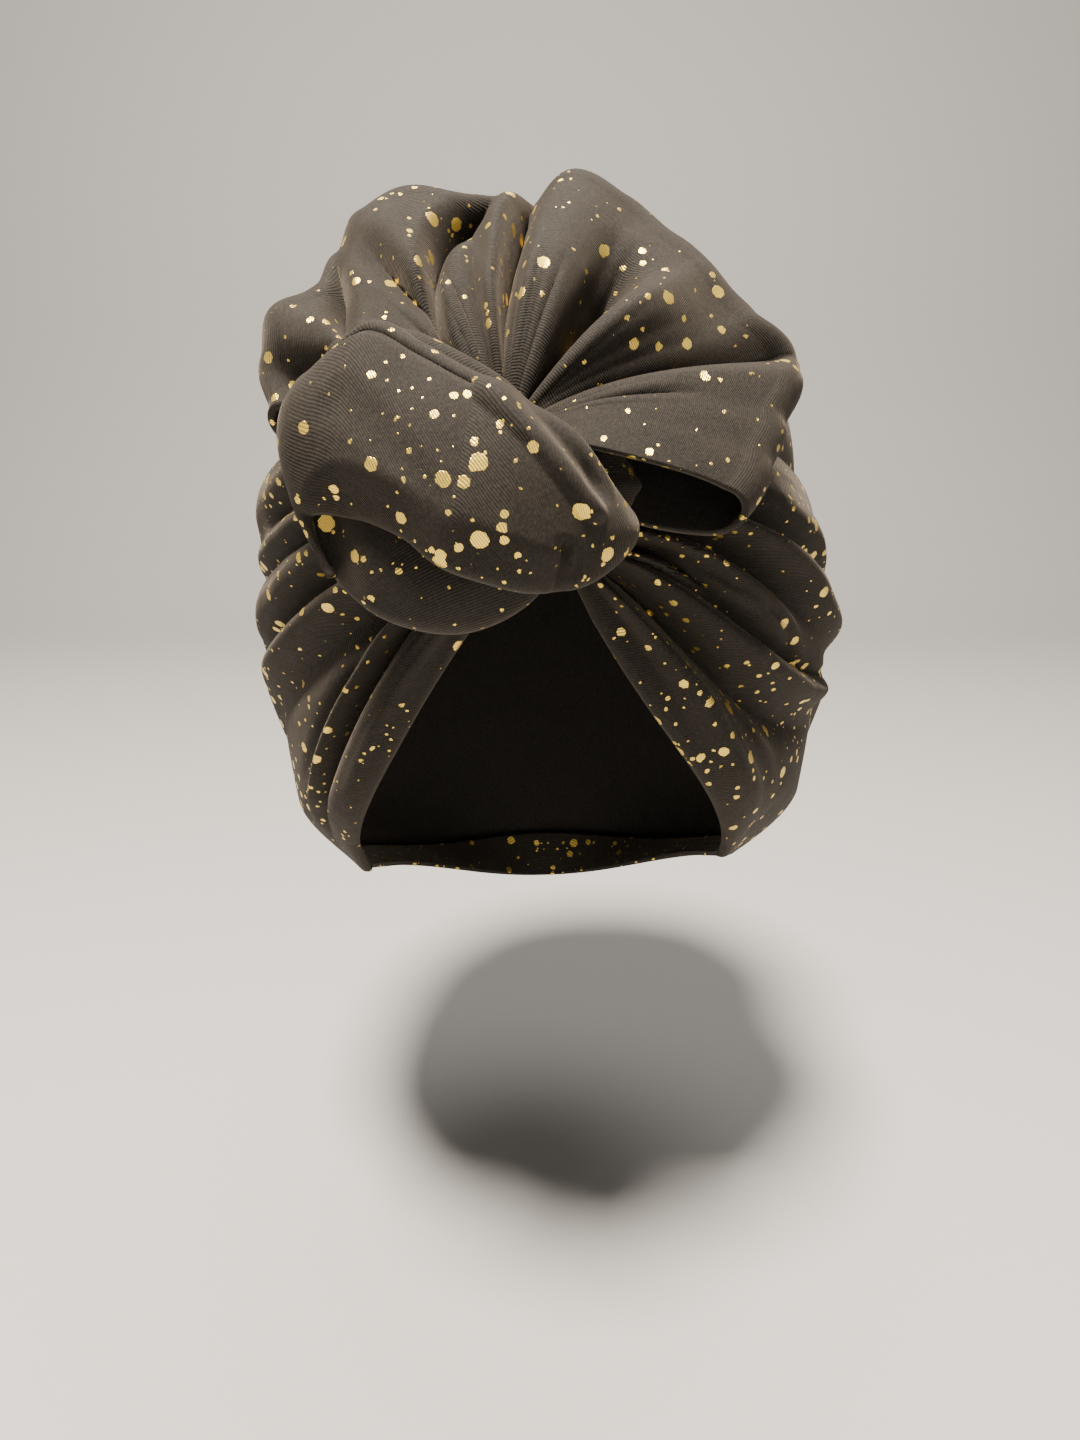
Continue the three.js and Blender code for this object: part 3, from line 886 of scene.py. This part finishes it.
    def grid(self) -> ClothGrid:
        """The crown's face.

        Returns:
            Its points, from the knot to the hem and from the left edge to the right one.
        """
        share = np.tile(self.shares(self.columns, self.side_crowding), (self.rows, 1))
        reach = 1 - (1 - np.linspace(0, 1, self.rows)) ** self.hem_crowding
        angle, t, end = self.places(share, np.tile(reach[:, None], (1, self.columns)))
        radius = np.linalg.norm(self.form.point(angle, t) - self.form.hub, axis=-1)
        to_side = np.minimum(angle - LEFT_EDGE.angle(t), RIGHT_EDGE.angle(t) - angle)
        to_side = np.radians(to_side) * np.sin(np.radians(t)) * radius
        to_hem = np.radians(end - t) * radius
        depth = np.maximum(curl(to_side, self.lip), curl(to_hem, self.lip))
        points = self.skin(angle, t, end, depth)
        return ClothGrid(points, self.knit_lines(points))

    def knit_lines(self, points: np.ndarray) -> np.ndarray:
        """The place on the cloth, counted along the knit's ribs and across them."""
        across = self.rib_rise * points[..., 2] - self.rib_lean * points[..., 1]
        return np.stack([points[..., 0], across], axis=-1)

    def hem_grid(self) -> ClothGrid:
        """The face of the strip that is turned up inside the hem.

        Returns:
            Its points, from the hem up and from left to right.
        """
        share = np.tile(self.shares(self.strip_columns, self.strip_crowding), (self.strip_rows, 1))
        share = share[:, self.strip_margin:-self.strip_margin]
        middle, _, end = self.places(share, np.ones_like(share))
        reach = np.linalg.norm(self.form.point(middle, end) - self.form.hub, axis=-1)
        up = np.linspace(0, 1, self.strip_rows)[:, None]
        t = end - np.degrees(self.strip_height / reach) * up
        points = self.skin(self.between_edges(share, t), t, end,
                           np.full_like(t, CLOTH_WALL + self.strip_gap))
        return ClothGrid(points, self.knit_lines(points))

    def build(self) -> list[bpy.types.Object]:
        """Makes the crown and its turned hem.

        Returns:
            The two pieces.
        """
        piece = self.grid().build("crown_cloth", [PRINTED, PLAIN], -1.0, self.form.hub)
        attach(piece, "root")
        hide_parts("crown")
        hem = self.hem_grid().build("hem_cloth", [PLAIN, PRINTED], -1.0, self.form.hub)
        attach(hem, "root")
        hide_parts("turned_hem")
        return [piece, hem]


@dataclass(frozen=True)
class Knot:
    """The pleated lump where all the folds meet."""

    form: CapForm = CapForm()
    width: float = 38.0
    height: float = 32.0
    depth: float = 22.0
    rise: float = 12.0
    pleats: int = 9
    pleat_height: float = 0.9
    fine_pleats: int = 23
    fine_height: float = 0.3
    fine_twist: float = 2.0
    meridians: int = 180
    parallels: int = 90

    def build(self) -> list[bpy.types.Object]:
        """Makes the knot.

        Returns:
            The one piece.
        """
        ball = bmesh.new()
        bmesh.ops.create_uvsphere(ball, u_segments=self.meridians, v_segments=self.parallels, radius=1.0)
        centre = self.form.gather + np.array([0.0, -self.depth / 4, self.rise])
        for vertex in ball.verts:
            x, y, z = vertex.co
            around = math.atan2(z, x)
            wide = math.hypot(x, z)
            pleat = self.pleat_height * math.cos(self.pleats * around) * wide
            pleat += self.fine_height * math.cos(self.fine_pleats * around + self.fine_twist * y) * wide
            vertex.co = (
                (centre[0] + x * (self.width / 2 + pleat)) * MM,
                (centre[1] + y * self.depth / 2) * MM,
                (centre[2] + z * (self.height / 2 + pleat)) * MM,
            )
        mesh = mesh_of(ball, "knot_cloth")
        write_flat(mesh, np.array([[v.co.x / MM, v.co.z / MM] for v in mesh.vertices]))
        mesh.materials.append(PRINTED.material())
        piece = put("knot_cloth", mesh)
        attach(piece, "root")
        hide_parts("knot_core")
        return [piece]


@dataclass(frozen=True)
class Pleat:
    """A crease of the ruffle, or a ridge if its depth is negative.

    Its angle at the knot and at the rim, its depth as a share of the pleat height, its width as
    an angle, and the shares of the reach at which it begins to fade and ends.
    """

    near: float
    rim: float
    depth: float
    width: float
    fade: float
    end: float

    def sink(self, angle: np.ndarray, share: np.ndarray) -> np.ndarray:
        """How far it sinks the cloth.

        Args:
            angle: the angle about the ruffle's root.
            share: from 0 at the root to 1 at the rim.

        Returns:
            A share of the pleat height.
        """
        middle = self.near + (self.rim - self.near) * share
        strength = ease(share * PLEAT_ONSET) * ease((self.end - share) / (self.end - self.fade))
        away = (angle - middle) / (PLEAT_SPREAD * self.width)
        shape = valley(away) if self.depth > 0 and self.width < BROAD_PLEAT else hill(away)
        return self.depth * strength * shape


PLEAT_ONSET = 1.8
PLEAT_SPREAD = 1.5
BROAD_PLEAT = 7.0
FAN_OUTLINE = (
    (-26, 0.80), (-7, 0.87), (3, 0.92), (14, 1.02), (22, 1.08), (31, 1.00), (38, 0.985),
    (54, 1.01), (66, 1.06), (77, 1.10), (85, 1.02), (98, 1.01), (111, 1.10), (121, 1.06),
    (129, 0.97), (138, 0.90), (150, 0.94), (160, 0.89), (172, 0.80),
)
FAN_PLEATS = (
    Pleat(23, 21, 0.9, 6, 0.9, 1.3),
    Pleat(32, 30, 0.45, 10, 0.8, 1.2),
    Pleat(41, 38, -0.45, 7, 0.6, 0.95),
    Pleat(53, 60, 1.45, 7.5, 0.5, 0.82),
    Pleat(76, 74, -0.3, 9, 0.9, 1.3),
    Pleat(95, 85, 1.35, 4.2, 0.75, 1.2),
    Pleat(100, 90, -0.2, 3, 0.8, 1.1),
    Pleat(108, 96, 0.25, 4, 0.7, 0.95),
    Pleat(143, 92, 1.25, 5, 0.8, 1.05),
    Pleat(128, 118, -0.3, 6, 0.8, 1.05),
    Pleat(126, 124, 0.6, 5.5, 0.6, 0.95),
    Pleat(190, 128, 0.7, 5, 0.8, 1.05),
    Pleat(155, 152, -0.3, 7, 0.9, 1.3),
    Pleat(167, 166, 0.7, 7, 0.8, 1.05),
)


@dataclass(frozen=True)
class Fan:
    """The doubled, pleated band that stands up behind the loop."""

    form: CapForm = CapForm()
    wrinkles: Wrinkles = Wrinkles(seed=5, count=34, place=(0, 165), bend=(-5, 5), height=(0.04, 0.12),
                                  width=(1.6, 3.2), start=(0.25, 0.5), end=(0.25, 0.5))
    radius: float = 65.0
    lean: float = 33.0
    roll: float = 6.5
    puff: float = 6.0
    puff_place: float = 0.8
    back_puff: float = 5.0
    pleat_height: float = 10.0
    back_pleats: float = 0.3
    root_radius: float = 7.0
    root_depth: float = 8.0
    root_side: float = -9.2
    root_rise: float = 24.5
    root_forward: float = 10.5
    right_end: Point = (-30.0, -18.0, -29.0)
    left_end: Point = (166.0, 172.0, 182.0)
    rim_starts: float = 0.5
    rim_ends: float = 0.75
    columns: int = 270
    rows: int = 150
    rib_place: float = 0.7

    def reach(self, angle: np.ndarray) -> np.ndarray:
        """How far the ruffle's rim is from its root, at an angle about the root."""
        known, share = np.array(FAN_OUTLINE).T
        return self.radius * eased(known, share, angle)

    def all_pleats(self) -> tuple[Pleat, ...]:
        """The main pleats and the fine ones close to the knot.

        Returns:
            The pleats.
        """
        drawn = self.wrinkles
        rng = np.random.default_rng(drawn.seed)
        fine = []
        for _ in range(drawn.count):
            near = rng.uniform(*drawn.place)
            fade = rng.uniform(*drawn.start)
            rim = near + rng.uniform(*drawn.bend)
            depth = rng.uniform(*drawn.height) * rng.choice([-1, 1])
            width = rng.uniform(*drawn.width)
            fine.append(Pleat(near, rim, depth, width, fade, fade + rng.uniform(*drawn.end)))
        return FAN_PLEATS + tuple(fine)

    def section(self, place: np.ndarray, reach: np.ndarray) -> tuple[np.ndarray, ...]:
        """The way round one section.

        Args:
            place: from 0 on the front at the knot to 1 on the back.
            reach: how far the rim is from the knot.

        Returns:
            The distance from the knot, the height off the ruffle's own plane and how much of
            each pleat shows.
        """
        straight = reach - self.roll
        front = np.clip(place / self.rim_starts, 0, 1)
        turn = np.pi * np.clip((place - self.rim_starts) / (self.rim_ends - self.rim_starts), 0, 1)
        back = np.clip((1 - place) / (1 - self.rim_ends), 0, 1)
        on_front, on_back = place < self.rim_starts, place > self.rim_ends
        along = np.where(on_front, front, back)
        r = np.where(on_front | on_back, self.root_radius + (straight - self.root_radius) * along,
                     straight + self.roll * np.sin(turn))
        base = self.root_depth + (2 * self.roll - self.root_depth) * back
        lift = np.where(on_front, self.puff * np.sin(np.pi * front ** self.puff_place),
                        np.where(on_back, -base - self.back_puff * np.sin(np.pi * back),
                                 self.roll * (np.cos(turn) - 1)))
        over_rim = self.back_pleats + (1 - self.back_pleats) / 2 * (1 + np.cos(turn))
        pleat = np.where(on_front, 1.0, np.where(on_back, self.back_pleats, over_rim))
        return r, lift, pleat

    @staticmethod
    def end_angle(end: Point, place: np.ndarray) -> np.ndarray:
        """The angle of an open end, from its front layer over its rim to its back layer."""
        front = end[0] + (end[1] - end[0]) * ease(2 * place)
        return front + (end[2] - end[1]) * ease(2 * place - 1)

    def grid(self) -> ClothGrid:
        """The middle of the ruffle's cloth.

        Returns:
            Its points, from the front over the rim to the back and from right to left.
        """
        share = np.tile(np.linspace(0, 1, self.columns), (self.rows, 1))
        place = np.tile(np.linspace(0, 1, self.rows)[:, None], (1, self.columns))
        start, stop = self.end_angle(self.right_end, place), self.end_angle(self.left_end, place)
        angle = start + (stop - start) * share
        reach = self.reach(angle)
        r, lift, shown = self.section(place, reach)
        sink = sum(pleat.sink(angle, r / reach) for pleat in self.all_pleats())
        sink = sink * self.pleat_height * shown
        lean = math.radians(self.lean)
        up = np.array([0.0, math.sin(lean), math.cos(lean)])
        out = np.array([0.0, -math.cos(lean), math.sin(lean)])
        root = self.form.gather + np.array([self.root_side, -self.root_forward, self.root_rise])
        a = np.radians(angle)[..., None]
        points = (root + SIDE * r[..., None] * np.cos(a) + up * r[..., None] * np.sin(a)
                  + out * (lift - sink)[..., None])
        down = lengths_along(points, 0).mean(axis=1, keepdims=True) + 0 * r
        across = np.radians(angle) * self.radius * self.rib_place
        return ClothGrid(points, np.stack([across, down], axis=-1))

    def build(self) -> list[bpy.types.Object]:
        """Makes the ruffle.

        Returns:
            The one piece.
        """
        grid = self.grid()
        piece = grid.build("fan_cloth", [PRINTED, PLAIN], 0.0, grid.points.mean(axis=(0, 1)))
        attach(piece, "root")
        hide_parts("fan_ruffle")
        return [piece]


@dataclass(frozen=True)
class Section:
    """A cross-section of the loop's band.

    Its upper and lower edge as shares of the loop's width, depth and height from its middle, the
    belly as a share of the loop's belly, and how far down the section the belly stands out most.
    """

    upper: Point
    lower: Point
    belly: float
    crest: float


LOOP_SECTIONS = (
    Section((0.42, 0.34, 0.02), (0.42, 0.36, -0.27), 0.1, 0.5),
    Section((0.50, 0.14, -0.06), (0.51, 0.14, -0.25), 0.3, 0.5),
    Section((0.46, -0.08, 0.02), (0.41, -0.16, -0.35), 0.4, 0.4),
    Section((0.35, -0.12, 0.22), (0.27, -0.36, -0.36), 0.6, 0.3),
    Section((0.23, -0.12, 0.34), (0.12, -0.48, -0.30), 0.6, 0.3),
    Section((0.06, -0.07, 0.44), (-0.03, -0.50, -0.22), 0.45, 0.4),
    Section((-0.08, 0.00, 0.54), (-0.16, -0.36, -0.12), 0.5, 0.5),
    Section((-0.22, 0.08, 0.62), (-0.32, -0.16, -0.07), 0.55, 0.45),
    Section((-0.38, 0.20, 0.45), (-0.45, 0.08, -0.10), 0.75, 0.4),
    Section((-0.35, 0.28, 0.52), (-0.40, 0.20, -0.30), 0.1, 0.4),
    Section((-0.17, 0.26, 0.60), (-0.24, 0.12, -0.50), -0.6, 0.75),
    Section((0.05, 0.24, 0.49), (0.00, 0.08, -0.57), -0.8, 0.75),
    Section((0.21, 0.26, 0.35), (0.20, 0.14, -0.48), -0.5, 0.6),
    Section((0.31, 0.34, 0.20), (0.31, 0.42, -0.36), 0.1, 0.5),
)


@dataclass(frozen=True)
class Crease:
    """A straight crease or ridge of the loop.

    It runs between two places, each a number of sections along the band and a share down it.
    Height is in millimetres, negative for a crease, and width is half its width in millimetres.
    """

    start: Range
    end: Range
    height: float
    width: float

    def lift(self, u: np.ndarray, v: np.ndarray, spacing: float, fall: float) -> np.ndarray:
        """How far it lifts the cloth.

        Args:
            u: places along the band, counted in sections.
            v: places down the band, from 0 to 1.
            spacing: how far apart the sections stand.
            fall: how wide the band is.

        Returns:
            The lift in millimetres.
        """
        scale = np.array([spacing, fall])
        a, b = np.array(self.start) * scale, np.array(self.end) * scale
        p = np.stack([u * spacing, v * fall], axis=-1)
        along = np.clip(((p - a) @ (b - a)) / ((b - a) @ (b - a)), 0, 1)
        away = np.linalg.norm(p - a - along[..., None] * (b - a), axis=-1)
        return self.height * hill(away / self.width)


LOOP_CREASES = (
    Crease((4.6, 0.10), (2.6, 0.40), 2.2, 5.0),
    Crease((3.9, 0.06), (2.7, 0.20), -4.0, 8.0),
    Crease((2.85, 0.72), (2.6, 1.0), -2.6, 3.5),
    Crease((7.4, 0.07), (4.9, 0.09), -1.0, 1.6),
    Crease((7.0, 0.45), (5.2, 0.75), -0.7, 7.0),
    Crease((8.3, 0.2), (9.2, 0.5), -1.2, 5.0),
    Crease((7.0, 1.0), (3.1, 1.0), -4.5, 11.0),
)


@dataclass(frozen=True)
class Loop:
    """The folded band in front of the knot."""

    form: CapForm = CapForm()
    width: float = 70.0
    height: float = 52.0
    depth: float = 30.0
    side: float = -20.0
    rise: float = 12.0
    forward: float = 23.0
    belly: float = 8.0
    lip: float = 2.6
    section_spacing: float = 14.0
    band_width: float = 42.0
    hollow_back: float = 12.0
    steps: int = 260
    rows: int = 100

    def edge(self, shares: list[Point]) -> np.ndarray:
        """A smooth curve through an edge's points, which goes slower round tight bends.

        Args:
            shares: a point for each section, in shares of the loop's size from its middle.

        Returns:
            The curve, steps x 3.
        """
        size = np.array([self.width, self.depth, self.height])
        centre = self.form.gather + np.array([self.side, -self.forward, self.rise])
        places = np.array(shares) * size + centre
        first, last = 2 * places[0] - places[1], 2 * places[-1] - places[-2]
        p = np.vstack([first, places, last])
        u = np.linspace(0, len(places) - 1, self.steps)
        k = np.minimum(u.astype(int), len(places) - 2)
        w = (u - k)[:, None]
        p0, p1, p2, p3 = p[k], p[k + 1], p[k + 2], p[k + 3]
        d0, d1, d2 = (np.maximum(np.linalg.norm(b - a, axis=1), 1e-4)[:, None] ** 0.5
                      for a, b in ((p0, p1), (p1, p2), (p2, p3)))
        m1 = ((p1 - p0) / d0 - (p2 - p0) / (d0 + d1) + (p2 - p1) / d1) * d1
        m2 = ((p2 - p1) / d1 - (p3 - p1) / (d1 + d2) + (p3 - p2) / d2) * d1
        c2 = -3 * p1 + 3 * p2 - 2 * m1 - m2
        c3 = 2 * p1 - 2 * p2 + m1 + m2
        return p1 + m1 * w + c2 * w ** 2 + c3 * w ** 3

    def grid(self) -> ClothGrid:
        """The middle of the loop's cloth.

        Returns:
            Its points, from the upper edge to the lower one and along the band.
        """
        upper = self.edge([s.upper for s in LOOP_SECTIONS])
        lower = self.edge([s.lower for s in LOOP_SECTIONS])
        known = np.arange(len(LOOP_SECTIONS))
        u = np.linspace(0, len(LOOP_SECTIONS) - 1, self.steps)
        belly = eased(known, np.array([s.belly for s in LOOP_SECTIONS]), u) * self.belly
        crest = eased(known, np.array([s.crest for s in LOOP_SECTIONS]), u)
        along = unit(unit(np.gradient(upper, axis=0)) + unit(np.gradient(lower, axis=0)))
        outward = unit(np.cross(along, lower - upper))
        v = np.linspace(0, 1, self.rows)[:, None]
        across, places = np.tile(v, (1, self.steps)), np.tile(u, (self.rows, 1))
        lift = sum(c.lift(places, across, self.section_spacing, self.band_width) for c in LOOP_CREASES)
        to_edge = np.minimum(across, 1 - across) * np.linalg.norm(lower - upper, axis=-1)
        lift = lift - curl(to_edge, self.lip) * np.where(belly < 0, -1, 1)
        bulge = belly * np.sin(np.pi * v ** (np.log(0.5) / np.log(crest)))
        points = upper + (lower - upper) * v[..., None] + outward * (bulge + lift)[..., None]
        run = lengths_along(points, 1).mean(axis=0, keepdims=True) + 0 * v
        return ClothGrid(points, np.stack([run, lengths_along(points, 0)], axis=-1))

    def build(self) -> list[bpy.types.Object]:
        """Makes the loop.

        Returns:
            The one piece.
        """
        middle = self.form.gather + np.array([self.side, self.hollow_back - self.forward, self.rise])
        piece = self.grid().build("loop_cloth", [PRINTED_ON_BIAS], 0.0, middle)
        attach(piece, "root")
        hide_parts("front_loop")
        return [piece]


@dataclass(frozen=True)
class Lamp:
    """A round, soft lamp, in metres and watts."""

    name: str
    place: Point
    size: float
    power: float
    color: Color

    def build(self, target: Point) -> None:
        """Adds the lamp, turned to a point.

        Args:
            target: the point.
        """
        data = bpy.data.lights.new(self.name, "AREA")
        data.shape = "DISK"
        data.size = self.size
        data.energy = self.power
        data.color = self.color
        lamp = put(self.name, data)
        lamp.location = self.place
        aim = np.array(target) - np.array(self.place)
        pitch = math.atan2(math.hypot(aim[0], aim[1]), -aim[2])
        lamp.rotation_euler = (pitch, 0.0, math.atan2(-aim[0], aim[1]))


LAMPS = (
    Lamp("key", (-0.17, -0.54, 1.26), 0.35, 118.0, (1.0, 0.92, 0.82)),
    Lamp("fill", (0.6, -1.1, 0.12), 1.2, 2.6, (1.0, 0.95, 0.88)),
    Lamp("top", (0.1, 0.45, 1.2), 1.0, 12.0, (1.0, 0.97, 0.93)),
)


@dataclass(frozen=True)
class Studio:
    """A pale cove, soft light and the camera, in metres, with the lens in millimetres."""

    floor_drop: float = 0.306
    floor_near: float = 2.2
    floor_half_width: float = 4.0
    wall_distance: float = 1.1
    wall_height: float = 2.0
    cove: float = 0.45
    strips: int = 60
    paper: Color = (0.42, 0.41, 0.395)
    paper_roughness: float = 0.9
    sky: Color = (0.9, 0.93, 1.0)
    sky_strength: float = 0.04
    lamp_target: Point = (0.0, 0.0, -0.07)
    lens: float = 25.0
    sensor: float = 36.0
    nearest: float = 0.01
    camera_place: Point = (-0.0021, -0.321, -0.050)
    camera_tilt: float = 15.2

    def build(self) -> None:
        """Makes the backdrop, the lamps, the sky and the camera."""
        self._backdrop()
        for lamp in LAMPS:
            lamp.build(self.lamp_target)
        world = bpy.data.worlds.new("studio")
        world.use_nodes = True
        sky = world.node_tree.nodes["Background"]
        sky.inputs["Color"].default_value = (*self.sky, 1.0)
        sky.inputs["Strength"].default_value = self.sky_strength
        bpy.context.scene.world = world
        lens = bpy.data.cameras.new("camera")
        lens.lens = self.lens
        lens.sensor_width = self.sensor
        lens.clip_start = self.nearest
        camera = put("camera", lens)
        camera.location = self.camera_place
        camera.rotation_euler = (math.radians(90 - self.camera_tilt), 0.0, 0.0)
        bpy.context.scene.camera = camera

    def _backdrop(self) -> None:
        """Makes the floor, curved up into a wall."""
        cove = bmesh.new()
        bmesh.ops.create_grid(cove, x_segments=2, y_segments=self.strips, size=1.0)
        turn = self.cove * math.pi / 2
        length = self.floor_near + self.wall_distance + turn + self.wall_height
        for vertex in cove.verts:
            run = (vertex.co.y + 1) / 2 * length - self.floor_near
            bend = min(max(run - self.wall_distance, 0.0), turn) / self.cove
            rise = max(run - self.wall_distance - turn, 0.0)
            vertex.co.x *= self.floor_half_width
            vertex.co.y = min(run, self.wall_distance) + self.cove * math.sin(bend)
            vertex.co.z = self.cove * (1 - math.cos(bend)) + rise - self.floor_drop
        mesh = mesh_of(cove, "backdrop")
        paper = bpy.data.materials.new("pale_paper")
        paper.use_nodes = True
        shader = paper.node_tree.nodes["Principled BSDF"]
        shader.inputs["Base Color"].default_value = (*self.paper, 1.0)
        shader.inputs["Roughness"].default_value = self.paper_roughness
        mesh.materials.append(paper)
        backdrop = put("backdrop", mesh)


def main() -> None:
    """Builds the headwrap and its studio."""
    logging.basicConfig(level=logging.INFO, format="%(message)s")
    for part in (Crown(), Knot(), Fan(), Loop()):
        for piece in part.build():
            LOG.info("%s: made, %d faces before its thickness", piece.name, len(piece.data.polygons))
    Studio().build()


if __name__ == "__main__":
    main()
